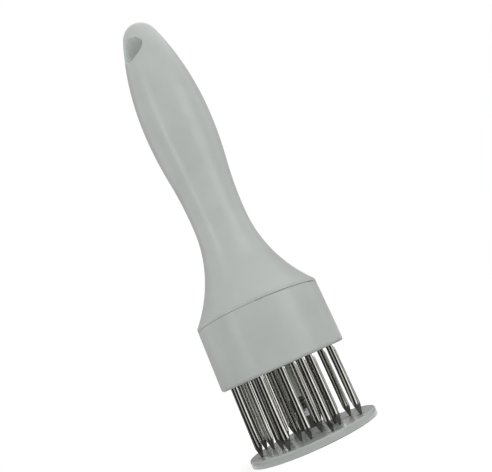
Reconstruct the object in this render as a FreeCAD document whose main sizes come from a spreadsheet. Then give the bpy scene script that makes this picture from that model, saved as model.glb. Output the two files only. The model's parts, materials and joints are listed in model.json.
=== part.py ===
import FreeCAD, Part
import math
import os
import Sketcher

# Blade meat tenderizer: a bell shaped hollow handle over a round blade holder, twenty-four flat
# blades in three rings, and a sprung guard disc that the blades pass through when it is pressed.
# It stands upright on the guard disc. The origin is the middle of the disc's under face, Z up.

doc = FreeCAD.newDocument("MeatTenderizer")
sheet = doc.addObject("Spreadsheet::Sheet", "Sizes")

# Driving sizes, in millimetres and degrees
sizes = [
    ("head_radius", 27.5, "guard disc and collar, outside"),
    ("press_gap", 28.5, "guard disc to collar edge at rest"),
    # guard disc
    ("guard_thickness", 2.9, "guard disc"),
    ("guard_round", 0.5, "rounding of the guard disc's rim"),
    ("boss_height", 2.0, "boss in the middle of the guard disc"),
    ("boss_radius", 4.2, "boss, which enters the guide tube when the guard is pressed"),
    ("spacer_height", 4.8, "rubber spacer between the boss and its nut"),
    # collar and its slotted floor
    ("collar_height", 26.4, "collar edge to the parting line"),
    ("collar_wall", 2.3, "collar wall"),
    ("collar_round", 1.2, "rounding of the collar's lower edge"),
    ("parting_round", 0.3, "rounding on each side of the parting line"),
    ("floor_recess", 1.5, "floor above the collar edge"),
    ("floor_thickness", 6.0, "slotted floor of the collar"),
    ("clamp_thickness", 3.0, "plate that holds the blade heads down"),
    ("clamp_clearance", 0.3, "around the plate and its holes"),
    # blades
    ("blade_width", 3.1, "blade across its face"),
    ("blade_thickness", 1.2, "blade in the middle of its section"),
    ("blade_edge", 0.5, "thickness left at the long edges"),
    ("point_length", 5.0, "tapered point"),
    ("point_width", 0.3, "width left at the very tip"),
    ("edge_length", 4.4, "part of the point that is ground thin"),
    ("tip_recess", 0.9, "blade tips below the guard disc's upper face"),
    ("blade_head_width", 4.2, "head that hangs in the floor"),
    ("blade_head_height", 3.0, "head that hangs in the floor"),
    ("slot_clearance", 0.15, "around a blade in a slot"),
    ("pocket_clearance", 0.1, "around a blade head in its pocket"),
    ("inner_ring", 11.2, "radius of the inner ring of blades"),
    ("rim_gap", 2.4, "outer ring of blades to the collar's bore"),
    ("ring_turn", 18.5, "direction of the first outer blade"),
    # guide tube, spring and bolt
    ("buffer_height", 5.1, "ribbed rubber buffer under the stem"),
    ("buffer_waist", 3.2, "buffer between its ribs"),
    ("rib_rise", 0.8, "ribs of the buffer beyond its waist"),
    ("stem_length", 22.2, "stem that slides in the guide tube"),
    ("stem_clearance", 0.08, "stem in the guide tube"),
    ("tube_wall", 1.3, "guide tube"),
    ("tube_cap", 2.5, "end wall that stops the spring"),
    ("tube_flange", 2.4, "width of the flange in the floor"),
    ("flange_thickness", 2.0, "flange in the floor"),
    ("tube_clearance", 0.45, "around the nut's corners in the guide tube"),
    ("bolt_radius", 2.0, "bolt through the guard disc"),
    ("bolt_clearance", 0.1, "around the bolt"),
    ("bolt_head_radius", 3.8, "countersunk head"),
    ("bolt_head_rim", 0.4, "straight rim of the countersunk head"),
    ("bolt_head_recess", 0.4, "head above the guard disc's under face"),
    ("socket_width", 2.5, "hexagon socket in the bolt head"),
    ("socket_depth", 1.3, "hexagon socket in the bolt head"),
    ("nut_width", 7.0, "nuts across the flats"),
    ("nut_height", 2.2, "thin nut on the spacer"),
    ("stop_nut_height", 4.6, "lock nut at the bolt's end"),
    ("stop_nut_collar", 1.6, "round collar of the lock nut"),
    ("washer_thickness", 0.8, "washers"),
    ("stop_washer_radius", 5.4, "washer under the lock nut"),
    ("bolt_end", 1.5, "bolt beyond the lock nut"),
    ("spring_length", 54.0, "return spring at rest"),
    ("spring_wire", 0.8, "wire of the return spring"),
    ("spring_turns", 20.0, "turns of the return spring"),
    ("spring_gap", 0.05, "spring ends to their seats"),
    # screws
    ("screw_radius", 1.5, "handle screw"),
    ("screw_bore_clearance", 0.2, "handle screw in its column"),
    ("screw_head_radius", 2.75, "handle screw"),
    ("screw_head_height", 2.1, "handle screw"),
    ("screw_sink", 2.6, "depth of the seat under the floor"),
    ("screw_sink_clearance", 0.25, "around a screw head"),
    ("screw_bite", 8.0, "screw inside the handle boss"),
    ("pilot_clearance", 0.02, "screws in their pilot holes"),
    ("pilot_extra", 1.2, "pilot hole beyond the screw's end"),
    ("column_wall", 1.5, "screw columns and handle bosses"),
    ("clamp_screw_radius", 1.1, "clamp plate screw"),
    ("clamp_head_radius", 2.0, "clamp plate screw"),
    ("clamp_head_height", 1.5, "clamp plate screw"),
    ("clamp_bite", 4.2, "clamp plate screw in the floor"),
    ("drive_width", 0.7, "cross slots in the screw heads"),
    ("drive_depth", 0.9, "cross slots in the screw heads"),
    # handle
    ("lip_height", 1.4, "straight lip above the parting line"),
    ("neck_radius", 12.4, "narrowest place of the handle"),
    ("neck_rise", 42.1, "neck above the parting line"),
    ("palm_radius", 16.3, "widest place of the grip"),
    ("palm_rise", 96.5, "widest place above the parting line"),
    ("crown_radius", 9.1, "round end of the handle"),
    ("handle_rise", 152.1, "top of the handle above the parting line"),
    ("handle_wall", 2.6, "wall along the bell and the neck"),
    ("core_end_radius", 7.5, "hollow at its upper end"),
    ("core_roof", 8.0, "solid between the hollow and the hanging hole"),
    ("spigot_depth", 3.0, "ring of the handle inside the collar"),
    ("spigot_wall", 1.8, "ring of the handle inside the collar"),
    ("spigot_clearance", 0.15, "ring inside the collar's bore"),
    ("hole_radius", 6.4, "hanging hole"),
    ("hole_drop", 17.0, "hanging hole below the handle's top"),
    ("hole_turn", -125.0, "direction of the hanging hole"),
    ("hole_round", 0.6, "rounding of the hanging hole's mouths"),
]

# Levels and radii that follow from the driving sizes
derived = [
    ("tip_level", "guard_thickness - tip_recess"),
    ("collar_bottom", "guard_thickness + press_gap"),
    ("parting", "collar_bottom + collar_height"),
    ("floor_bottom", "collar_bottom + floor_recess"),
    ("floor_top", "floor_bottom + floor_thickness"),
    ("clamp_top", "floor_top + clamp_thickness"),
    ("blade_length", "floor_top - tip_level"),
    ("face_rise", "(blade_thickness - blade_edge) / 2"),
    ("face_arc", "(blade_width ^ 2 / 4 + face_rise ^ 2) / (2 * face_rise)"),
    ("collar_bore", "head_radius - collar_wall"),
    ("outer_ring", "collar_bore - rim_gap"),
    ("middle_ring", "(outer_ring + inner_ring) / 2"),
    ("nut_corner", "nut_width / sqrt(3)"),
    ("tube_bore", "nut_corner + tube_clearance"),
    ("tube_radius", "tube_bore + tube_wall"),
    ("flange_radius", "tube_radius + tube_flange"),
    ("boss_top", "guard_thickness + boss_height"),
    ("spacer_top", "boss_top + spacer_height"),
    ("nut_top", "spacer_top + nut_height"),
    ("washer_top", "nut_top + washer_thickness"),
    ("buffer_top", "washer_top + buffer_height"),
    ("rib_height", "buffer_height / 3"),
    ("rib_arc", "(rib_height ^ 2 / 4 + rib_rise ^ 2) / (2 * rib_rise)"),
    ("stem_top", "buffer_top + stem_length"),
    ("stem_radius", "tube_bore - stem_clearance"),
    ("cap_bottom", "stem_top + spring_length"),
    ("tube_top", "cap_bottom + tube_cap"),
    ("stop_washer_top", "tube_top + washer_thickness"),
    ("stop_nut_top", "stop_washer_top + stop_nut_height"),
    ("bolt_top", "stop_nut_top + bolt_end"),
    ("bolt_hole", "bolt_radius + bolt_clearance"),
    ("spring_radius", "(bolt_radius + tube_bore) / 2"),
    ("screw_seat", "floor_bottom + screw_sink"),
    ("screw_top", "parting + screw_bite"),
    ("column_radius", "screw_radius + screw_bore_clearance + column_wall"),
    ("clamp_screw_ring", "(middle_ring + blade_head_width / 2 + collar_bore) / 2"),
    ("spigot_radius", "collar_bore - spigot_clearance"),
    ("spigot_bore", "spigot_radius - spigot_wall"),
    ("spigot_bottom", "parting - spigot_depth"),
    ("lip_top", "parting + lip_height"),
    ("neck", "parting + neck_rise"),
    ("palm", "parting + palm_rise"),
    ("handle_top", "parting + handle_rise"),
    ("hole_level", "handle_top - hole_drop"),
    ("core_top", "hole_level - hole_radius - core_roof"),
    # radii of the arcs that make the handle's outline, each tangent to the next
    ("bell_width", "head_radius - neck_radius"),
    ("bell_rise", "neck - lip_top"),
    ("bell_arc", "(bell_width ^ 2 + bell_rise ^ 2) / (2 * bell_width)"),
    ("swell_width", "palm_radius - neck_radius"),
    ("swell_rise", "palm - neck"),
    ("swell_arc", "(swell_width ^ 2 + swell_rise ^ 2) / (4 * swell_width)"),
    ("crown_rise", "handle_top - crown_radius - palm"),
    ("grip_taper", "palm_radius - crown_radius"),
    ("grip_arc", "(palm_radius ^ 2 + crown_rise ^ 2 - crown_radius ^ 2) / (2 * grip_taper)"),
    ("crown_share", "crown_radius / (grip_arc - crown_radius)"),
    ("crown_join_radius", "crown_share * (grip_arc - palm_radius)"),
    ("crown_join", "handle_top - crown_radius + crown_share * crown_rise"),
    # the hollow runs at an even distance inside the bell
    ("core_arc", "bell_arc + handle_wall"),
    ("core_neck", "neck_radius - handle_wall"),
    ("core_arc_start", "neck - sqrt(core_arc ^ 2 - (neck_radius + bell_arc - spigot_bore) ^ 2)"),
]

RINGS = ("outer_ring", "middle_ring", "inner_ring")
BLADES_PER_RING = 8
RING_STEP = 360 / BLADES_PER_RING
SCREWS = 4
# how far a cutting tool runs past the face it cuts
OVERSHOOT = 1.0
NUT_CORNER_SLOPE = 30


def fill_sheet():
    row = 1
    for alias, size, note in sizes:
        sheet.set(f"A{row}", note)
        sheet.set(f"B{row}", str(size))
        sheet.setAlias(f"B{row}", alias)
        row += 1
    for alias, formula in derived:
        sheet.set(f"B{row}", "=" + formula)
        sheet.setAlias(f"B{row}", alias)
        row += 1
    doc.recompute()


def bound(formula):
    # the aliases in a formula, written the way an object outside the sheet reads them
    words = sorted({entry[0] for entry in sizes + derived}, key=len, reverse=True)
    text = ""
    rest = formula
    while rest:
        word = next((word for word in words if rest.startswith(word)), None)
        if word:
            text += "Sizes." + word
            rest = rest[len(word):]
        else:
            text += rest[0]
            rest = rest[1:]
    return text


def value(formula):
    return float(sheet.evalExpression(bound(formula)))


def bind(thing, name, formula):
    thing.setExpression(name, bound(formula))


def add_body(name):
    body = doc.addObject("PartDesign::Body", name)
    body.Label = name
    return body


def add_sketch(body, name, role, level="0", turn=None):
    # a sketch on one of the body's own origin planes, raised by level along the plane's normal
    # and, on an upright plane, turned about the Z axis
    sketch = body.newObject("Sketcher::SketchObject", name)
    plane = next(f for f in body.Origin.OriginFeatures if f.Role == role)
    sketch.AttachmentSupport = (plane, [""])
    sketch.MapMode = "FlatFace"
    if turn is not None:
        sketch.AttachmentOffset = FreeCAD.Placement(
            FreeCAD.Vector(0, 0, 0), FreeCAD.Rotation(FreeCAD.Vector(0, 1, 0), 0))
        bind(sketch, "AttachmentOffset.Rotation.Angle", turn)
    if level != "0":
        bind(sketch, "AttachmentOffset.Base.z", level)
    return sketch


def fix_point(sketch, geometry, vertex, x, y):
    for kind, axis, formula in (("DistanceX", -2, x), ("DistanceY", -1, y)):
        if formula == "0":
            sketch.addConstraint(Sketcher.Constraint("PointOnObject", geometry, vertex, axis))
        else:
            rule = Sketcher.Constraint(kind, -1, 1, geometry, vertex, value(formula))
            index = sketch.addConstraint(rule)
            bind(sketch, f"Constraints[{index}]", formula)


def arc_between(start, end, radius, side):
    # the short arc from start to end, its centre on the left (1) or right (-1) of the way there
    chord = end - start
    across = FreeCAD.Vector(-chord.y, chord.x, 0).normalize()
    rise = math.sqrt(max(radius ** 2 - (chord.Length / 2) ** 2, 0))
    centre = (start + end) / 2 + across * (rise * side)
    first = math.atan2(start.y - centre.y, start.x - centre.x)
    last = math.atan2(end.y - centre.y, end.x - centre.x)
    circle = Part.Circle(centre, FreeCAD.Vector(0, 0, 1), radius)
    if side > 0:
        return Part.ArcOfCircle(circle, first, last), 1, 2
    return Part.ArcOfCircle(circle, last, first), 2, 1


def draw_outline(sketch, corners):
    # a closed outline: each corner is (x, y) or (x, y, arc radius, side) for an arc to the next
    points = [FreeCAD.Vector(value(corner[0]), value(corner[1]), 0) for corner in corners]
    ends = []
    for index, corner in enumerate(corners):
        start = points[index]
        end = points[(index + 1) % len(points)]
        if len(corner) == 2:
            edge, first, last = Part.LineSegment(start, end), 1, 2
        else:
            edge, first, last = arc_between(start, end, value(corner[2]), corner[3])
        ends.append((sketch.addGeometry(edge), first, last))
    for index, (edge, first, last) in enumerate(ends):
        following, begin, _ = ends[(index + 1) % len(ends)]
        sketch.addConstraint(Sketcher.Constraint("Coincident", edge, last, following, begin))
    for corner, (edge, first, _) in zip(corners, ends):
        fix_point(sketch, edge, first, corner[0], corner[1])
        if len(corner) > 2:
            rule = Sketcher.Constraint("Radius", edge, value(corner[2]))
            index = sketch.addConstraint(rule)
            bind(sketch, f"Constraints[{index}]", corner[2])


def draw_circle(sketch, x, y, radius):
    centre = FreeCAD.Vector(value(x), value(y), 0)
    circle = Part.Circle(centre, FreeCAD.Vector(0, 0, 1), value(radius))
    edge = sketch.addGeometry(circle)
    fix_point(sketch, edge, 3, x, y)
    index = sketch.addConstraint(Sketcher.Constraint("Radius", edge, value(radius)))
    bind(sketch, f"Constraints[{index}]", radius)


def draw_hexagon(sketch, across):
    corners = []
    for step in range(6):
        angle = 30 + 60 * step
        corners.append((f"{across} / sqrt(3) * cos({angle})", f"{across} / sqrt(3) * sin({angle})"))
    draw_outline(sketch, corners)


def draw_box(sketch, x_from, x_to, y_from, y_to):
    draw_outline(sketch, [(x_from, y_from), (x_to, y_from), (x_to, y_to), (x_from, y_to)])


def revolve(body, name, corners):
    # a solid of revolution about Z, its outline drawn as radius and height
    sketch = add_sketch(body, name + "_outline", "XZ_Plane")
    draw_outline(sketch, corners)
    feature = body.newObject("PartDesign::Revolution", name)
    feature.Profile = sketch
    feature.ReferenceAxis = (sketch, ["V_Axis"])
    feature.Angle = 360
    return feature


def pad(body, sketch, name, length):
    feature = body.newObject("PartDesign::Pad", name)
    feature.Profile = sketch
    bind(feature, "Length", length)
    return feature


def pocket(body, sketch, name, length=None):
    # upwards from the sketch by length, or right through on both sides
    feature = body.newObject("PartDesign::Pocket", name)
    feature.Profile = sketch
    if length is None:
        feature.SideType = "Symmetric"
        feature.Type = "ThroughAll"
    else:
        feature.Reversed = True
        bind(feature, "Length", length)
    return feature


def repeat_round(body, features, sketch, count):
    pattern = body.newObject("PartDesign::PolarPattern", features[-1].Name + "_round")
    pattern.Originals = features
    pattern.Axis = (sketch, ["N_Axis"])
    pattern.Angle = 360
    pattern.Occurrences = count
    body.Tip = pattern
    return pattern


def cut(name, base, tools):
    gathered = doc.addObject("Part::Compound", name + "_tools")
    gathered.Links = tools
    result = doc.addObject("Part::Cut", name)
    result.Base = base
    result.Tool = gathered
    return result


def blade_places():
    # number, x and y of each blade: three rings, the middle one turned by half a step
    number = 1
    for ring in RINGS:
        offset = RING_STEP / 2 if ring == "middle_ring" else 0
        for step in range(BLADES_PER_RING):
            angle = f"(ring_turn - {offset} + {RING_STEP * step})"
            yield number, f"{ring} * cos({angle})", f"{ring} * sin({angle})"
            number += 1


def blade_slots(name, width, thickness, bottom, height):
    # one upright box round every blade
    boxes = []
    for number, x, y in blade_places():
        box = doc.addObject("Part::Box", f"{name}_{number:02d}")
        bind(box, "Length", width)
        bind(box, "Width", thickness)
        bind(box, "Height", height)
        bind(box, "Placement.Base.x", f"{x} - ({width}) / 2")
        bind(box, "Placement.Base.y", f"{y} - ({thickness}) / 2")
        bind(box, "Placement.Base.z", bottom)
        boxes.append(box)
    return boxes


def make_blade(name, x, y):
    # drawn with its tip at its own origin, both faces rounded across
    body = add_body(name)
    section = add_sketch(body, name + "_section", "XY_Plane")
    draw_outline(section, [
        ("blade_width / 2", "-blade_edge / 2"),
        ("blade_width / 2", "blade_edge / 2", "face_arc", 1),
        ("-blade_width / 2", "blade_edge / 2"),
        ("-blade_width / 2", "-blade_edge / 2", "face_arc", 1)])
    pad(body, section, name + "_shank", "blade_length")
    head = add_sketch(body, name + "_head_outline", "XY_Plane", "blade_length - blade_head_height")
    draw_box(head, "-blade_head_width / 2", "blade_head_width / 2",
             "-blade_thickness / 2", "blade_thickness / 2")
    pad(body, head, name + "_head", "blade_head_height")
    # the point narrows across the face, and its end is ground thin from both faces
    for plane, wide, length in (("XZ_Plane", "blade_width", "point_length"),
                                ("YZ_Plane", "blade_thickness", "edge_length")):
        for side in ("", "-"):
            sketch = add_sketch(body, f"{name}_{plane[:2]}_point_{len(side)}", plane)
            outside = f"{side}({wide} / 2 + {OVERSHOOT})"
            draw_outline(sketch, [
                (f"{side}point_width / 2", "0"),
                (f"{side}{wide} / 2", length),
                (outside, length),
                (outside, f"-{OVERSHOOT}"),
                (f"{side}point_width / 2", f"-{OVERSHOOT}")])
            pocket(body, sketch, sketch.Name + "_cut")
    bind(body, "Placement.Base.x", x)
    bind(body, "Placement.Base.y", y)
    bind(body, "Placement.Base.z", "tip_level")
    return body


def make_handle():
    outer = add_body("handle_outer")
    revolve(outer, "handle_outside", [
        ("0", "spigot_bottom"),
        ("spigot_radius", "spigot_bottom"),
        ("spigot_radius", "parting"),
        ("head_radius - parting_round", "parting", "parting_round", 1),
        ("head_radius", "parting + parting_round"),
        ("head_radius", "lip_top", "bell_arc", -1),
        ("neck_radius", "neck", "swell_arc", -1),
        ("(neck_radius + palm_radius) / 2", "(neck + palm) / 2", "swell_arc", 1),
        ("palm_radius", "palm", "grip_arc", 1),
        ("crown_join_radius", "crown_join", "crown_radius", 1),
        ("0", "handle_top")])
    core = add_body("handle_core")
    revolve(core, "handle_hollow", [
        ("0", f"spigot_bottom - {OVERSHOOT}"),
        ("spigot_bore", f"spigot_bottom - {OVERSHOOT}"),
        ("spigot_bore", "core_arc_start", "core_arc", -1),
        ("core_neck", "neck"),
        ("core_end_radius", "core_top - core_end_radius", "core_end_radius", 1),
        ("0", "core_top")])
    # the core leaves the screw bosses standing, from the parting line up to the bell
    bosses = []
    for step in range(SCREWS):
        angle = f"(ring_turn + {360 / SCREWS * step})"
        boss = doc.addObject("Part::Cylinder", f"handle_boss_{step + 1}")
        bind(boss, "Radius", "column_radius")
        bind(boss, "Height", "neck_rise")
        bind(boss, "Placement.Base.x", f"middle_ring * cos({angle})")
        bind(boss, "Placement.Base.y", f"middle_ring * sin({angle})")
        bind(boss, "Placement.Base.z", "parting")
        bosses.append(boss)
    shell = cut("handle_shell", outer, [cut("handle_core_cut", core, bosses)])
    doc.recompute()

    body = add_body("handle")
    body.BaseFeature = shell
    pilot = add_sketch(body, "handle_pilot_outline", "XY_Plane", "parting")
    draw_circle(pilot, "middle_ring * cos(ring_turn)", "middle_ring * sin(ring_turn)",
                "screw_radius + pilot_clearance")
    hole = pocket(body, pilot, "handle_pilot", "screw_bite + pilot_extra")
    repeat_round(body, [hole], pilot, SCREWS)
    mouth = add_sketch(body, "handle_hole_outline", "XZ_Plane", turn="hole_turn + 90")
    draw_circle(mouth, "0", "hole_level", "hole_radius")
    hanging = pocket(body, mouth, "handle_hanging_hole")
    body.Tip = hanging
    doc.recompute()
    rims = [f"Edge{index + 1}" for index, edge in enumerate(hanging.Shape.Edges)
            if is_hole_rim(edge)]
    soft = body.newObject("PartDesign::Fillet", "handle_hole_round")
    soft.Base = (hanging, rims)
    bind(soft, "Radius", "hole_round")
    body.Tip = soft
    return body


def is_hole_rim(edge):
    # all of the edge lies on the hanging hole's wall, and it isn't the wall's straight seam
    turn = math.radians(value("hole_turn"))
    along = FreeCAD.Vector(math.cos(turn), math.sin(turn), 0)
    middle = FreeCAD.Vector(0, 0, value("hole_level"))
    radius = value("hole_radius")
    if edge.Length < radius:
        return False
    spots = edge.discretize(7)
    reaches = [(spot - middle).cross(along).Length for spot in spots]
    straight = (spots[-1] - spots[0]).Length > edge.Length * 0.999
    return max(abs(reach - radius) for reach in reaches) < 0.01 and not straight


def make_blade_holder():
    body = add_body("blade_holder_body")
    revolve(body, "holder_outside", [
        ("0", "floor_bottom"),
        ("collar_bore", "floor_bottom"),
        ("collar_bore", "collar_bottom"),
        ("head_radius - collar_round", "collar_bottom", "collar_round", 1),
        ("head_radius", "collar_bottom + collar_round"),
        ("head_radius", "parting - parting_round", "parting_round", 1),
        ("head_radius - parting_round", "parting"),
        ("collar_bore", "parting"),
        ("collar_bore", "floor_top"),
        ("0", "floor_top")])
    # screw columns stand between the blades and reach the handle's bosses
    x, y = "middle_ring * cos(ring_turn)", "middle_ring * sin(ring_turn)"
    post = add_sketch(body, "holder_column_outline", "XY_Plane", "floor_top")
    draw_circle(post, x, y, "column_radius")
    column = pad(body, post, "holder_column", "parting - floor_top")
    repeat_round(body, [column], post, SCREWS)
    under = add_sketch(body, "holder_bore_outline", "XY_Plane", "floor_bottom")
    draw_circle(under, x, y, "screw_radius + screw_bore_clearance")
    bore = pocket(body, under, "holder_bore", "parting - floor_bottom")
    repeat_round(body, [bore], under, SCREWS)
    seat = add_sketch(body, "holder_seat_outline", "XY_Plane", "floor_bottom")
    draw_circle(seat, x, y, "screw_head_radius + screw_sink_clearance")
    sink = pocket(body, seat, "holder_seat", "screw_sink")
    repeat_round(body, [sink], seat, SCREWS)
    # pilot holes for the clamp plate's screws, drilled from the floor's upper face
    screw = add_sketch(body, "holder_pilot_outline", "XY_Plane", "floor_top - clamp_bite - pilot_extra")
    clamp_x, clamp_y = clamp_screw_place()
    draw_circle(screw, clamp_x, clamp_y, "clamp_screw_radius + pilot_clearance")
    pilot = pocket(body, screw, "holder_pilot", "clamp_bite + pilot_extra")
    repeat_round(body, [pilot], screw, SCREWS)
    # the guide tube passes through the middle and its flange lies flush in the floor
    tube = add_sketch(body, "holder_tube_outline", "XY_Plane", "floor_bottom")
    draw_circle(tube, "0", "0", "tube_radius + pocket_clearance")
    pocket(body, tube, "holder_tube_hole", "floor_thickness")
    flange = add_sketch(body, "holder_flange_outline", "XY_Plane", "floor_top - flange_thickness")
    draw_circle(flange, "0", "0", "flange_radius + pocket_clearance")
    pocket(body, flange, "holder_flange_seat", "flange_thickness")
    slots = blade_slots("holder_slot", "blade_width + 2 * slot_clearance",
                        "blade_thickness + 2 * slot_clearance",
                        f"floor_bottom - {OVERSHOOT}", f"floor_thickness + {OVERSHOOT}")
    pockets = blade_slots("holder_pocket", "blade_head_width + 2 * pocket_clearance",
                          "blade_thickness + 2 * slot_clearance",
                          "floor_top - blade_head_height", "blade_head_height")
    return cut("blade_holder", body, slots + pockets)


def clamp_screw_place():
    angle = f"(ring_turn - {RING_STEP / 2})"
    return f"clamp_screw_ring * cos({angle})", f"clamp_screw_ring * sin({angle})"


def make_clamp_plate():
    body = add_body("blade_clamp_plate")
    plate = add_sketch(body, "clamp_outline", "XY_Plane", "floor_top")
    draw_circle(plate, "0", "0", "collar_bore - clamp_clearance")
    draw_circle(plate, "0", "0", "tube_radius + clamp_clearance")
    pad(body, plate, "clamp_plate", "clamp_thickness")
    passage = add_sketch(body, "clamp_column_outline", "XY_Plane", "floor_top")
    draw_circle(passage, "middle_ring * cos(ring_turn)", "middle_ring * sin(ring_turn)",
                "column_radius + clamp_clearance")
    opening = pocket(body, passage, "clamp_column_hole", "clamp_thickness")
    repeat_round(body, [opening], passage, SCREWS)
    screw = add_sketch(body, "clamp_screw_outline", "XY_Plane", "floor_top")
    clamp_x, clamp_y = clamp_screw_place()
    draw_circle(screw, clamp_x, clamp_y, "clamp_screw_radius + bolt_clearance")
    drilled = pocket(body, screw, "clamp_screw_hole", "clamp_thickness")
    repeat_round(body, [drilled], screw, SCREWS)
    return body


def make_guard_disc():
    body = add_body("guard_disc_body")
    head = "bolt_head_radius + bolt_clearance"
    rim_top = "bolt_head_recess + bolt_head_rim"
    cone_top = "bolt_head_recess + bolt_head_rim + bolt_head_radius - bolt_radius"
    revolve(body, "guard_outside", [
        (head, "0"),
        ("head_radius - guard_round", "0", "guard_round", 1),
        ("head_radius", "guard_round"),
        ("head_radius", "guard_thickness - guard_round", "guard_round", 1),
        ("head_radius - guard_round", "guard_thickness"),
        ("boss_radius", "guard_thickness"),
        ("boss_radius", "boss_top - guard_round", "guard_round", 1),
        ("boss_radius - guard_round", "boss_top"),
        ("bolt_hole", "boss_top"),
        ("bolt_hole", cone_top),
        (head, rim_top)])
    slots = blade_slots("guard_slot", "blade_width + 2 * slot_clearance",
                        "blade_thickness + 2 * slot_clearance",
                        f"-{OVERSHOOT}", f"guard_thickness + 2 * {OVERSHOOT}")
    return cut("guard_disc", body, slots)


def make_guide_tube():
    body = add_body("guide_tube")
    revolve(body, "tube_wall_turned", [
        ("tube_bore", "floor_bottom"),
        ("tube_radius", "floor_bottom"),
        ("tube_radius", "floor_top - flange_thickness"),
        ("flange_radius", "floor_top - flange_thickness"),
        ("flange_radius", "floor_top"),
        ("tube_radius", "floor_top"),
        ("tube_radius", "tube_top"),
        ("bolt_hole", "tube_top"),
        ("bolt_hole", "cap_bottom"),
        ("tube_bore", "cap_bottom")])
    return body


def make_guard_bolt():
    body = add_body("guard_bolt")
    rim_top = "bolt_head_recess + bolt_head_rim"
    revolve(body, "bolt_turned", [
        ("0", "bolt_head_recess"),
        ("bolt_head_radius", "bolt_head_recess"),
        ("bolt_head_radius", rim_top),
        ("bolt_radius", f"{rim_top} + bolt_head_radius - bolt_radius"),
        ("bolt_radius", "bolt_top"),
        ("0", "bolt_top")])
    socket = add_sketch(body, "bolt_socket_outline", "XY_Plane", "bolt_head_recess")
    draw_hexagon(socket, "socket_width")
    pocket(body, socket, "bolt_socket", "socket_depth")
    return body


def make_ring(name, outer, bottom, height):
    # a plain ring on the bolt
    body = add_body(name)
    sketch = add_sketch(body, name + "_outline", "XY_Plane", bottom)
    draw_circle(sketch, "0", "0", outer)
    draw_circle(sketch, "0", "0", "bolt_hole")
    pad(body, sketch, name + "_plate", height)
    return body


def make_buffer():
    # three soft ribs round a short sleeve
    body = add_body("stem_buffer")
    revolve(body, "buffer_turned", [
        ("bolt_hole", "washer_top"),
        ("buffer_waist", "washer_top", "rib_arc", 1),
        ("buffer_waist", "washer_top + rib_height", "rib_arc", 1),
        ("buffer_waist", "buffer_top - rib_height", "rib_arc", 1),
        ("buffer_waist", "buffer_top"),
        ("bolt_hole", "buffer_top")])
    return body


def make_nut(name, bottom, height, collar=None):
    body = add_body(name)
    outline = add_sketch(body, name + "_outline", "XY_Plane", bottom)
    draw_hexagon(outline, "nut_width")
    draw_circle(outline, "0", "0", "bolt_hole")
    flats = f"{height} - {collar}" if collar else height
    pad(body, outline, name + "_flats", flats)
    # the corners are turned down at both ends of the flats
    outside = f"nut_corner + {OVERSHOOT}"
    drop = f"({outside} - nut_width / 2) * tan({NUT_CORNER_SLOPE})"
    for index, (end, inward) in enumerate(((bottom, "+"), (f"{bottom} + {flats}", "-"))):
        corner = add_sketch(body, f"{name}_corner_outline_{index + 1}", "XZ_Plane")
        draw_outline(corner, [
            ("nut_width / 2", end), (outside, f"{end} {inward} {drop}"), (outside, end)])
        turned = body.newObject("PartDesign::Groove", f"{name}_corner_{index + 1}")
        turned.Profile = corner
        turned.ReferenceAxis = (corner, ["V_Axis"])
        turned.Angle = 360
    if collar:
        top = add_sketch(body, name + "_collar_outline", "XY_Plane", f"{bottom} + {flats}")
        draw_circle(top, "0", "0", "nut_width / 2 - bolt_clearance")
        draw_circle(top, "0", "0", "bolt_hole")
        pad(body, top, name + "_collar", collar)
    return body


def make_screws(name, ring, turn, bottom, top, head_radius, head_height, radius, head_below):
    # a set of equal screws on one ring, each with a cross slot in its round head
    body = add_body(name)
    sketch = add_sketch(body, name + "_outline", "XZ_Plane")
    side = "-" if head_below else "+"
    seat, end = (bottom, top) if head_below else (top, bottom)
    face = f"{seat} {side} {head_height}"
    corners = [(ring, face), (f"{ring} + {head_radius}", face), (f"{ring} + {head_radius}", seat),
               (f"{ring} + {radius}", seat), (f"{ring} + {radius}", end), (ring, end)]
    draw_outline(sketch, corners)
    turned = body.newObject("PartDesign::Revolution", name + "_turned")
    turned.Profile = sketch
    turned.ReferenceAxis = (sketch, [f"Edge{len(corners)}"])
    turned.Angle = 360
    slots = []
    for index, (length, width) in enumerate((("head", "drive"), ("drive", "head"))):
        reach = {"head": f"{head_radius} * 0.65", "drive": "drive_width / 2"}
        start = face if head_below else f"{face} - drive_depth"
        slot = add_sketch(body, f"{name}_slot_{index + 1}", "XY_Plane", start)
        draw_box(slot, f"{ring} - {reach[length]}", f"{ring} + {reach[length]}",
                 f"-({reach[width]})", reach[width])
        slots.append(pocket(body, slot, f"{name}_drive_{index + 1}", "drive_depth"))
    repeat_round(body, [turned] + slots, slots[0].Profile[0], SCREWS)
    bind(body, "Placement.Rotation.Angle", turn)
    return body


def make_spring():
    # a wire swept along a helix, its ends just clear of the stem and the tube's cap
    helix = doc.addObject("Part::Helix", "spring_line")
    bind(helix, "Radius", "spring_radius")
    bind(helix, "Height", "spring_length - spring_wire - 2 * spring_gap")
    bind(helix, "Pitch", "(spring_length - spring_wire - 2 * spring_gap) / spring_turns")
    bind(helix, "Placement.Base.z", "stem_top + spring_gap + spring_wire / 2")
    wire = doc.addObject("Part::Circle", "spring_section")
    bind(wire, "Radius", "spring_wire / 2")
    wire.Placement = FreeCAD.Placement(
        FreeCAD.Vector(0, 0, 0), FreeCAD.Rotation(FreeCAD.Vector(1, 0, 0), 90))
    bind(wire, "Placement.Base.x", "spring_radius")
    bind(wire, "Placement.Base.z", "stem_top + spring_gap + spring_wire / 2")
    doc.recompute()
    coil = doc.addObject("Part::Sweep", "return_spring")
    coil.Sections = [wire]
    coil.Spine = (helix, [f"Edge{index + 1}" for index in range(len(helix.Shape.Edges))])
    coil.Solid = True
    coil.Frenet = True
    return coil


def check_document():
    for thing in doc.Objects:
        wrong = [state for state in thing.State if state in ("Invalid", "Error")]
        if wrong:
            raise RuntimeError(f"{thing.Name} is {wrong}")


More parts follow.
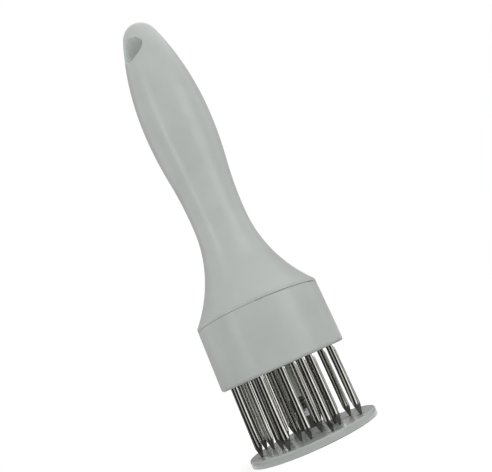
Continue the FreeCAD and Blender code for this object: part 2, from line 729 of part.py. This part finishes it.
def write_pieces(pieces):
    os.makedirs("parts", exist_ok=True)
    for piece in pieces:
        shape = piece.Shape
        if shape.isNull() or not shape.isValid() or not shape.Solids:
            raise RuntimeError(f"{piece.Label} has no valid solid")
        shape.exportStep(f"parts/{piece.Label}.step")
        print(f"{piece.Label}: {len(shape.Solids)} solid, {shape.Volume:.1f} mm3")


def main():
    fill_sheet()
    pieces = [
        make_handle(),
        make_blade_holder(),
        make_clamp_plate(),
        make_guide_tube(),
        make_screws("handle_screws", "middle_ring", "ring_turn", "screw_seat", "screw_top",
                    "screw_head_radius", "screw_head_height", "screw_radius", True),
        make_screws("clamp_screws", "clamp_screw_ring", f"ring_turn - {RING_STEP / 2}",
                    "floor_top - clamp_bite", "clamp_top",
                    "clamp_head_radius", "clamp_head_height", "clamp_screw_radius", False),
        make_guard_disc(),
        make_guard_bolt(),
        make_ring("guard_spacer", "nut_corner", "boss_top", "spacer_height"),
        make_nut("guard_nut", "spacer_top", "nut_height"),
        make_ring("guard_washer", "nut_corner", "nut_top", "washer_thickness"),
        make_buffer(),
        make_ring("guide_stem", "stem_radius", "buffer_top", "stem_length"),
        make_spring(),
        make_ring("stop_washer", "stop_washer_radius", "tube_top", "washer_thickness"),
        make_nut("stop_nut", "stop_washer_top", "stop_nut_height", "stop_nut_collar"),
    ]
    for number, x, y in blade_places():
        pieces.append(make_blade(f"blade_{number:02d}", x, y))
    doc.recompute()
    check_document()
    write_pieces(pieces)


main()
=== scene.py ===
import json
import math
import bmesh
import bpy
from mathutils import Matrix, Quaternion, Vector


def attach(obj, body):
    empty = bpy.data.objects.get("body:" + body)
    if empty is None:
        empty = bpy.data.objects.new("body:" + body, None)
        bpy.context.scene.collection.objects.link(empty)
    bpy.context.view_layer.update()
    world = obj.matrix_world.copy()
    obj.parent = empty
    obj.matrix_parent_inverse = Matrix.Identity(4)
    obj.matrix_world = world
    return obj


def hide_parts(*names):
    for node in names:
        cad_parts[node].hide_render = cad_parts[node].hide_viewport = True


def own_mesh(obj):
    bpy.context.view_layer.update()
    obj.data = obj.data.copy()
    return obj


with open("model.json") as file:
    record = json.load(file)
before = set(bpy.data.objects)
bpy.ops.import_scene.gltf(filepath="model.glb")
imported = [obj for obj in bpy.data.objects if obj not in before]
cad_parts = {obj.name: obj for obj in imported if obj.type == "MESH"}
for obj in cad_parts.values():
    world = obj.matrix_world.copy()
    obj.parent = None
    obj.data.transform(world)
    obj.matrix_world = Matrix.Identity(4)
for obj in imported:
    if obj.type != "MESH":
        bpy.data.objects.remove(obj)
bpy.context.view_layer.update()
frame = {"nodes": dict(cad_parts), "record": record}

print("frame loaded")

mm = 0.001
scene = bpy.context.scene
nodes = frame["nodes"]
record = frame["record"]
white = (1.0, 1.0, 1.0, 1.0)


camera = {
    "place": (0.0, -235.69, 30.87),  # mm
    "aim": (7.98, 0.0, 89.30),  # mm
    "roll": -24.03,  # degrees, the tool then stands slanted in the frame
    "lens": 39.97,  # mm
    "clip": (0.01, 50.0),  # m
}


def addCamera():
    data = bpy.data.cameras.new("camera")
    data.lens = camera["lens"]
    data.sensor_fit = "HORIZONTAL"
    data.clip_start, data.clip_end = camera["clip"]
    item = bpy.data.objects.new("camera", data)
    place = Vector(camera["place"]) * mm
    look = (Vector(camera["aim"]) * mm - place).to_track_quat("-Z", "Y")
    item.rotation_mode = "QUATERNION"
    item.rotation_quaternion = look @ Quaternion((0, 0, 1), math.radians(camera["roll"]))
    item.location = place
    scene.collection.objects.link(item)
    scene.camera = item


addCamera()
print("camera placed")


def newTree(name):
    material = bpy.data.materials.new(name)
    material.use_nodes = True
    tree = material.node_tree
    tree.nodes.clear()
    return material, tree


def add(tree, kind, inputs=None, **settings):
    # a node with its settings, its inputs given as values or as sockets to link from
    node = tree.nodes.new(kind)
    for key, setting in settings.items():
        setattr(node, key, setting)
    for key, source in (inputs or {}).items():
        if isinstance(source, bpy.types.NodeSocket):
            tree.links.new(source, node.inputs[key])
        else:
            node.inputs[key].default_value = source
    return node


def newGroup(name, inputs, outputs):
    group = bpy.data.node_groups.new(name, "ShaderNodeTree")
    for label, kind, value in inputs:
        socket = group.interface.new_socket(label, in_out="INPUT", socket_type=kind)
        if value is not None:
            socket.default_value = value
    for label, kind in outputs:
        group.interface.new_socket(label, in_out="OUTPUT", socket_type=kind)
    return group, add(group, "NodeGroupInput"), add(group, "NodeGroupOutput")


def calculate(tree, operation, first, second):
    return add(tree, "ShaderNodeMath", {0: first, 1: second}, operation=operation).outputs[0]


def remap(tree, source, fromLow, fromHigh, toLow, toHigh):
    node = add(tree, "ShaderNodeMapRange", {
        "Value": source, "From Min": fromLow, "From Max": fromHigh,
        "To Min": toLow, "To Max": toHigh})
    return node.outputs["Result"]


def makeObject(name, shape, material):
    mesh = bpy.data.meshes.new(name)
    shape.to_mesh(mesh)
    shape.free()
    mesh.materials.append(material)
    item = bpy.data.objects.new(name, mesh)
    scene.collection.objects.link(item)
    return item


grainLook = {
    "fineDetail": 3.0, "fineRoughness": 0.6,
    "waveScale": 60.0, "waveDetail": 2.0, "waveRoughness": 0.5,
}


def makeMouldGrain():
    # the fine pitted skin of a mould, with the slow waviness of thick plastic
    group, source, result = newGroup("mouldGrain", [
        ("Vector", "NodeSocketVector", None),
        ("Grain Scale", "NodeSocketFloat", None),
        ("Wave Scale", "NodeSocketFloat", grainLook["waveScale"]),
        ("Wave Share", "NodeSocketFloat", None),
    ], [("Height", "NodeSocketFloat"), ("Tone", "NodeSocketFloat")])
    fine = add(group, "ShaderNodeTexNoise", {
        "Vector": source.outputs["Vector"], "Scale": source.outputs["Grain Scale"],
        "Detail": grainLook["fineDetail"], "Roughness": grainLook["fineRoughness"]})
    slow = add(group, "ShaderNodeTexNoise", {
        "Vector": source.outputs["Vector"], "Scale": source.outputs["Wave Scale"],
        "Detail": grainLook["waveDetail"], "Roughness": grainLook["waveRoughness"]})
    wave = calculate(group, "MULTIPLY", slow.outputs["Fac"], source.outputs["Wave Share"])
    height = calculate(group, "ADD", fine.outputs["Fac"], wave)
    group.links.new(height, result.inputs["Height"])
    group.links.new(slow.outputs["Fac"], result.inputs["Tone"])
    return group


marksLook = {
    "smudgeScale": 90.0, "smudgeDetail": 5.0, "smudgeRoughness": 0.62, "smudgeSwirl": 0.6,
    "smudgeSpan": (0.35, 0.7),
    "scratchScale": 160.0, "scratchWidth": 0.012,
    "scratchStretch": (1.0, 1.0, 0.12), "scratchLean": (0.12, 0.08, 0.0),
    "scratchSpan": (0.54, 0.6),  # the smudge's values between which scratches come in
}


def makeHandlingMarks():
    # smudges from hands and a few hairline scratches that run along the tool
    group, source, result = newGroup("handlingMarks", [
        ("Vector", "NodeSocketVector", None),
        ("Smudge Scale", "NodeSocketFloat", marksLook["smudgeScale"]),
        ("Scratch Scale", "NodeSocketFloat", marksLook["scratchScale"]),
    ], [("Smudge", "NodeSocketFloat"), ("Scratch", "NodeSocketFloat")])
    noise = add(group, "ShaderNodeTexNoise", {
        "Vector": source.outputs["Vector"], "Scale": source.outputs["Smudge Scale"],
        "Detail": marksLook["smudgeDetail"], "Roughness": marksLook["smudgeRoughness"],
        "Distortion": marksLook["smudgeSwirl"]})
    smudge = remap(group, noise.outputs["Fac"], *marksLook["smudgeSpan"], 0.0, 1.0)
    lengthways = add(group, "ShaderNodeMapping", {
        "Vector": source.outputs["Vector"], "Scale": marksLook["scratchStretch"],
        "Rotation": marksLook["scratchLean"]})
    cells = add(group, "ShaderNodeTexVoronoi", {
        "Vector": lengthways.outputs[0], "Scale": source.outputs["Scratch Scale"]},
        feature="DISTANCE_TO_EDGE")
    line = remap(group, cells.outputs["Distance"], 0.0, marksLook["scratchWidth"], 1.0, 0.0)
    broken = remap(group, noise.outputs["Fac"], *marksLook["scratchSpan"], 0.0, 1.0)
    scratch = calculate(group, "MULTIPLY", line, broken)
    group.links.new(smudge, result.inputs["Smudge"])
    group.links.new(scratch, result.inputs["Scratch"])
    return group


linesLook = {
    "lineDetail": 4.0, "lineRoughness": 0.65,
    "stainScale": 240.0, "stainDetail": 3.0, "stainRoughness": 0.6,
}


def makeDrawnLines():
    # the close lines that grinding, rolling or drawing leaves along a metal part
    group, source, result = newGroup("drawnLines", [
        ("Vector", "NodeSocketVector", None),
        ("Stretch", "NodeSocketVector", None),
        ("Line Scale", "NodeSocketFloat", None),
    ], [("Line", "NodeSocketFloat"), ("Stain", "NodeSocketFloat")])
    along = add(group, "ShaderNodeVectorMath", {
        0: source.outputs["Vector"], 1: source.outputs["Stretch"]}, operation="MULTIPLY")
    line = add(group, "ShaderNodeTexNoise", {
        "Vector": along.outputs[0], "Scale": source.outputs["Line Scale"],
        "Detail": linesLook["lineDetail"], "Roughness": linesLook["lineRoughness"]})
    stain = add(group, "ShaderNodeTexNoise", {
        "Vector": source.outputs["Vector"], "Scale": linesLook["stainScale"],
        "Detail": linesLook["stainDetail"], "Roughness": linesLook["stainRoughness"]})
    group.links.new(line.outputs["Fac"], result.inputs["Line"])
    group.links.new(stain.outputs["Fac"], result.inputs["Stain"])
    return group


mouldGrain = makeMouldGrain()
handlingMarks = makeHandlingMarks()
drawnLines = makeDrawnLines()


finishes = {  # depth in mm, and rough from the smoothest to the roughest spot
    "greyPlastic": {
        "slot": "grey_plastic", "kind": "plastic", "colour": (0.442, 0.466, 0.449),
        "rough": (0.28, 0.38), "grain": 2600.0, "depth": 0.012, "wave": 0.5, "vary": 0.045},
    # the guard disc's plastic is the grey plastic made a little darker, a painted shade for the disc's
    # top under the collar and blades
    "guardPlasticShaded": {
        "slot": "guard_plastic", "kind": "plastic", "colour": (0.427, 0.450, 0.434),
        "rough": (0.16, 0.26), "grain": 2600.0, "depth": 0.006, "wave": 0.5, "vary": 0.05},
    "guidePlastic": {
        "slot": "guide_plastic", "kind": "plastic", "colour": (0.40, 0.42, 0.40),
        "rough": (0.32, 0.42), "grain": 3800.0, "depth": 0.008, "wave": 0.3, "vary": 0.06},
    "bufferRubber": {
        "slot": "buffer_rubber", "kind": "plastic", "colour": (0.070, 0.070, 0.067),
        "rough": (0.45, 0.65), "grain": 2200.0, "depth": 0.03, "wave": 0.4, "vary": 0.25},
    "bladeSteel": {
        "slot": "blade_steel", "kind": "steel", "colour": (0.675, 0.675, 0.625),
        "rough": (0.045, 0.08), "stretch": (1.0, 1.0, 0.008), "lines": 5200.0, "depth": 0.0006,
        # on the ground points the colour is scaled down to this tone, a painted dark reflection, and
        # the roughness is raised by the next value
        "pointShadeTone": 0.2, "groundRough": 0.22,
        "groundTop": 6.9, "groundEdge": 0.2},  # mm, where the ground points end, and how softly
    "zincSteel": {
        "slot": "zinc_steel", "kind": "steel", "colour": (0.52, 0.53, 0.53),
        "rough": (0.20, 0.34), "stretch": (1.0, 1.0, 0.6), "lines": 1800.0, "depth": 0.03},
    "springSteel": {
        "slot": "spring_steel", "kind": "steel", "colour": (0.52, 0.52, 0.53),
        "rough": (0.22, 0.36), "stretch": (1.0, 1.0, 1.0), "lines": 2400.0, "depth": 0.02},
}

shadeLook = {
    "noiseSpan": (0.3, 0.7),  # soft noise seldom leaves it
    "plasticBump": 0.35, "plasticSpecular": 0.45, "scratchRough": 0.06,
    "steelBump": 0.3, "steelDarker": 0.14, "steelPaler": 0.06,
}
mixSockets = {"dark": 6, "pale": 7, "result": 2}  # the Mix node's sockets for colours


def wander(tree, noise, colour, darker, paler):
    # a colour that wanders between a darker and a paler one
    mix = add(tree, "ShaderNodeMix", {
        "Factor": remap(tree, noise, *shadeLook["noiseSpan"], 0.0, 1.0),
        mixSockets["dark"]: tuple(part * (1 - darker) for part in colour) + (1.0,),
        mixSockets["pale"]: tuple(part * (1 + paler) for part in colour) + (1.0,)},
        data_type="RGBA")
    return mix.outputs[mixSockets["result"]]


def makePlastic(name, finish):
    material, tree = newTree(name)
    place = add(tree, "ShaderNodeTexCoord").outputs["Object"]
    grain = add(tree, "ShaderNodeGroup", node_tree=mouldGrain)
    tree.links.new(place, grain.inputs["Vector"])
    grain.inputs["Grain Scale"].default_value = finish["grain"]
    grain.inputs["Wave Share"].default_value = finish["wave"]
    marks = add(tree, "ShaderNodeGroup", node_tree=handlingMarks)
    tree.links.new(place, marks.inputs["Vector"])
    colour = wander(tree, grain.outputs["Tone"], finish["colour"], finish["vary"], finish["vary"])
    smudged = remap(tree, marks.outputs["Smudge"], 0.0, 1.0, *finish["rough"])
    scratched = calculate(tree, "MULTIPLY", marks.outputs["Scratch"], shadeLook["scratchRough"])
    bump = add(tree, "ShaderNodeBump", {
        "Height": grain.outputs["Height"], "Strength": shadeLook["plasticBump"],
        "Distance": finish["depth"] * mm})
    shader = add(tree, "ShaderNodeBsdfPrincipled", {
        "Base Color": colour, "Roughness": calculate(tree, "ADD", smudged, scratched),
        "Normal": bump.outputs[0], "Specular IOR Level": shadeLook["plasticSpecular"]})
    add(tree, "ShaderNodeOutputMaterial", {"Surface": shader.outputs[0]})
    return material


def makeSteel(name, finish):
    material, tree = newTree(name)
    place = add(tree, "ShaderNodeTexCoord").outputs["Object"]
    lines = add(tree, "ShaderNodeGroup", node_tree=drawnLines)
    tree.links.new(place, lines.inputs["Vector"])
    lines.inputs["Stretch"].default_value = finish["stretch"]
    lines.inputs["Line Scale"].default_value = finish["lines"]
    colour = wander(tree, lines.outputs["Stain"], finish["colour"],
                    shadeLook["steelDarker"], shadeLook["steelPaler"])
    rough = remap(tree, lines.outputs["Line"], *shadeLook["noiseSpan"], *finish["rough"])
    if "groundTop" in finish:
        # the points are ground dull, up to where they begin to narrow; there the colour is also
        # darkened, a painted dark reflection
        height = add(tree, "ShaderNodeSeparateXYZ", {0: place}).outputs["Z"]
        top, edge = finish["groundTop"], finish["groundEdge"]
        groundAndShadeMask = remap(tree, height, (top + edge) * mm, (top - edge) * mm, 0.0, 1.0)
        shade = remap(tree, groundAndShadeMask, 0.0, 1.0, 1.0, finish["pointShadeTone"])
        colour = add(tree, "ShaderNodeVectorMath", {
            0: colour, "Scale": shade}, operation="SCALE").outputs["Vector"]
        dull = calculate(tree, "MULTIPLY", groundAndShadeMask, finish["groundRough"])
        rough = calculate(tree, "ADD", rough, dull)
    bump = add(tree, "ShaderNodeBump", {
        "Height": lines.outputs["Line"], "Strength": shadeLook["steelBump"],
        "Distance": finish["depth"] * mm})
    shader = add(tree, "ShaderNodeBsdfPrincipled", {
        "Base Color": colour, "Roughness": rough, "Normal": bump.outputs[0], "Metallic": 1.0})
    add(tree, "ShaderNodeOutputMaterial", {"Surface": shader.outputs[0]})
    return material


makers = {"plastic": makePlastic, "steel": makeSteel}
bySlot = {finish["slot"]: makers[finish["kind"]](name, finish) for name, finish in finishes.items()}


def dressNodes():
    slots = {part["node"]: part["material_slot"] for part in record["subparts"]}
    for name, item in nodes.items():
        item.data.materials.clear()
        item.data.materials.append(bySlot[slots[name]])


dressNodes()
print("finishes on the CAD nodes")


spring = {
    "wire": 0.8,  # mm
    "turns": 20, "closedTurns": 1,  # closed turns at each end
    "closedPitch": 0.82,  # mm, so the end turns lie on their neighbours
    "stepsPerTurn": 32, "wireSides": 12,
}


def coilWire(shape, section, turns, rise):
    steps = round(turns * spring["stepsPerTurn"])
    result = bmesh.ops.spin(
        shape, geom=section, cent=(0, 0, 0), axis=(0, 0, 1), dvec=(0, 0, rise / steps),
        angle=math.tau * turns, steps=steps)
    return result["geom_last"]


def sortFaces(shape):
    # spinning leaves the faces in a new order each run, so they take the order of their vertices
    shape.verts.index_update()
    count = len(shape.verts)

    def turn(face):
        numbers = [vert.index for vert in face.verts]
        return min(numbers) * count + max(numbers)

    shape.faces.sort(key=turn)


def addSpring():
    # it fills the place of the plain spring, which gives its ends and its radius
    corners = nodes["return_spring"].bound_box
    bottom = min(corner[2] for corner in corners)
    top = max(corner[2] for corner in corners)
    half = spring["wire"] / 2 * mm
    radius = max(corner[0] for corner in corners) - half
    shape = bmesh.new()
    upright = Matrix.Translation((radius, 0, bottom + half)) @ Matrix.Rotation(math.radians(90), 4, "X")
    bmesh.ops.create_circle(shape, segments=spring["wireSides"], radius=half, matrix=upright)
    section = list(shape.verts) + list(shape.edges)
    closed = spring["closedTurns"]
    closedRise = closed * spring["closedPitch"] * mm
    openRise = top - bottom - 2 * half - 2 * closedRise
    section = coilWire(shape, section, closed, closedRise)
    section = coilWire(shape, section, spring["turns"] - 2 * closed, openRise)
    coilWire(shape, section, closed, closedRise)
    bmesh.ops.holes_fill(shape, edges=shape.edges, sides=0)
    bmesh.ops.recalc_face_normals(shape, faces=shape.faces)
    for face in shape.faces:
        face.smooth = len(face.verts) < spring["wireSides"]  # all but the wire's two cut ends
    sortFaces(shape)
    coil = makeObject("springCoil", shape, bySlot["spring_steel"])
    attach(coil, "handle")
    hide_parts("return_spring")
    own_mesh(coil)


addSpring()
print("spring wound")


studio = {
    "floorSize": 6.0,  # m
    "paperTone": 0.8, "paperGlow": 0.45,  # the glow whitens the floor and lights nothing
    "worldOnObject": 0.70,  # strength of the white surround where it lights the object
    # lamps in watts and metres, all turned to the target
    "target": (0.0, 0.0, 0.10),
    "keyPower": 1.15, "keyPlace": (0.50, -0.42, 0.30), "keySize": (0.34, 0.60),
    "stripPower": 1.0, "stripPlace": (-0.52, -0.46, 0.36), "stripSize": (0.10, 0.70),
    "topPower": 0.5, "topPlace": (0.25, 0.1, 0.75), "topSize": (0.6, 0.6),
    # a small soft light in each mouth of the hanging hole, turned inwards
    "nearPower": 0.00038, "farPower": 0.0003,
    "mouthSize": 6.0, "nearOut": 11.0, "farOut": -9.0,  # mm, out from the middle of the hole
    # grey cards that lie on the floor and turn up at their outer edge
    "cardStart": 32.0, "cardRadius": 600.0, "cardLift": 0.3,  # mm
    "cardSteps": 24,
    # start and end in degrees to the right of the view from the front, height in mm and brightness
    "cards": (
        (-95.0, -60.0, 60.0, 0.02), (-60.0, -46.0, 60.0, 0.3), (-46.0, -23.0, 60.0, 0.02),
        (-23.0, -10.0, 60.0, 0.5), (-10.0, 16.0, 60.0, 0.02), (31.0, 38.0, 60.0, 0.06),
        (38.0, 70.0, 31.0, 0.5), (70.0, 100.0, 60.0, 0.05), (112.0, 150.0, 31.0, 0.04),
        (162.0, 192.0, 60.0, 0.08), (204.0, 214.0, 60.0, 0.3), (222.0, 255.0, 60.0, 0.04)),
    # tall grey screens behind the cards: start and end in degrees, lower edge in mm and brightness
    "screenRadius": 640.0, "screenTop": 800.0,  # mm
    "screens": ((120.0, 185.0, 60.0, 0.5), (185.0, 240.0, 31.0, 0.35)),
}


def whereSeen(tree, unseen, seen):
    # one strength for the light that falls on things, another for the eye, also by way of a mirror
    path = add(tree, "ShaderNodeLightPath")
    mirrored = calculate(
        tree, "MAXIMUM", path.outputs["Is Glossy Ray"], path.outputs["Is Transmission Ray"])
    direct = calculate(tree, "MAXIMUM", path.outputs["Is Camera Ray"], mirrored)
    return remap(tree, direct, 0.0, 1.0, unseen, seen)


def addWorld():
    world = bpy.data.worlds.new("studio")
    world.use_nodes = True
    tree = world.node_tree
    tree.nodes.clear()
    back = add(tree, "ShaderNodeBackground", {
        "Color": white, "Strength": whereSeen(tree, studio["worldOnObject"], 1.0)})
    add(tree, "ShaderNodeOutputWorld", {"Surface": back.outputs[0]})
    scene.world = world


def addFloor():
    material, tree = newTree("floorPaper")
    paper = add(tree, "ShaderNodeBsdfDiffuse", {"Color": (studio["paperTone"],) * 3 + (1.0,)})
    glow = add(tree, "ShaderNodeEmission", {
        "Color": white, "Strength": whereSeen(tree, 0.0, studio["paperGlow"])})
    both = add(tree, "ShaderNodeAddShader", {0: paper.outputs[0], 1: glow.outputs[0]})
    add(tree, "ShaderNodeOutputMaterial", {"Surface": both.outputs[0]})
    shape = bmesh.new()
    bmesh.ops.create_grid(shape, x_segments=1, y_segments=1, size=studio["floorSize"] / 2)
    floor = makeObject("floor", shape, material)


def addLamp(name, place, target, size):
    data = bpy.data.lights.new(name, "AREA")
    data.shape = "RECTANGLE"
    data.size, data.size_y = size
    data.energy = studio[name + "Power"]
    lamp = bpy.data.objects.new(name + "Lamp", data)
    lamp.location = place
    aim = Vector(target) - lamp.location
    lamp.rotation_euler = aim.to_track_quat("-Z", "Y").to_euler()
    lamp.visible_camera = False
    scene.collection.objects.link(lamp)


def addStudioLamps():
    for name in ("key", "strip", "top"):
        addLamp(name, studio[name + "Place"], studio["target"], studio[name + "Size"])


def addHoleLamps():
    hole = next(mount for mount in record["mounts"] if mount["name"] == "hanging_hole")
    middle, outwards = Vector(hole["pos_m"]), Vector(hole["axis"])
    size = studio["mouthSize"] * mm
    for name in ("near", "far"):
        addLamp(name, middle + outwards * studio[name + "Out"] * mm, middle, (size, size))


def addCard(name, corners, start, end, tone):
    # a strip bent round the object, which only shows in its reflections
    shape = bmesh.new()
    line = [shape.verts.new((0, -out * mm, height * mm)) for out, height in corners]
    edges = [shape.edges.new(pair) for pair in zip(line, line[1:])]
    turn = Matrix.Rotation(math.radians(start), 4, "Z")
    bmesh.ops.transform(shape, matrix=turn, verts=line)
    bmesh.ops.spin(shape, geom=line + edges, cent=(0, 0, 0), axis=(0, 0, 1),
                   angle=math.radians(end - start), steps=studio["cardSteps"])
    material, tree = newTree(name + "Tone")
    flat = add(tree, "ShaderNodeEmission", {"Color": white, "Strength": tone})
    add(tree, "ShaderNodeOutputMaterial", {"Surface": flat.outputs[0]})
    card = makeObject(name, shape, material)
    card.visible_camera = False
    card.visible_diffuse = False
    card.visible_shadow = False
    card.visible_transmission = False


def addCards():
    near, far, lift = studio["cardStart"], studio["cardRadius"], studio["cardLift"]
    for number, (start, end, height, tone) in enumerate(studio["cards"], 1):
        addCard(f"card{number}", ((near, lift), (far, lift), (far, height)), start, end, tone)
    back, top = studio["screenRadius"], studio["screenTop"]
    for number, (start, end, bottom, tone) in enumerate(studio["screens"], 1):
        addCard(f"screen{number}", ((back, bottom), (back, top)), start, end, tone)


addWorld()
addFloor()
addStudioLamps()
addHoleLamps()
addCards()
scene.view_settings.view_transform = "Standard"
print("studio ready")
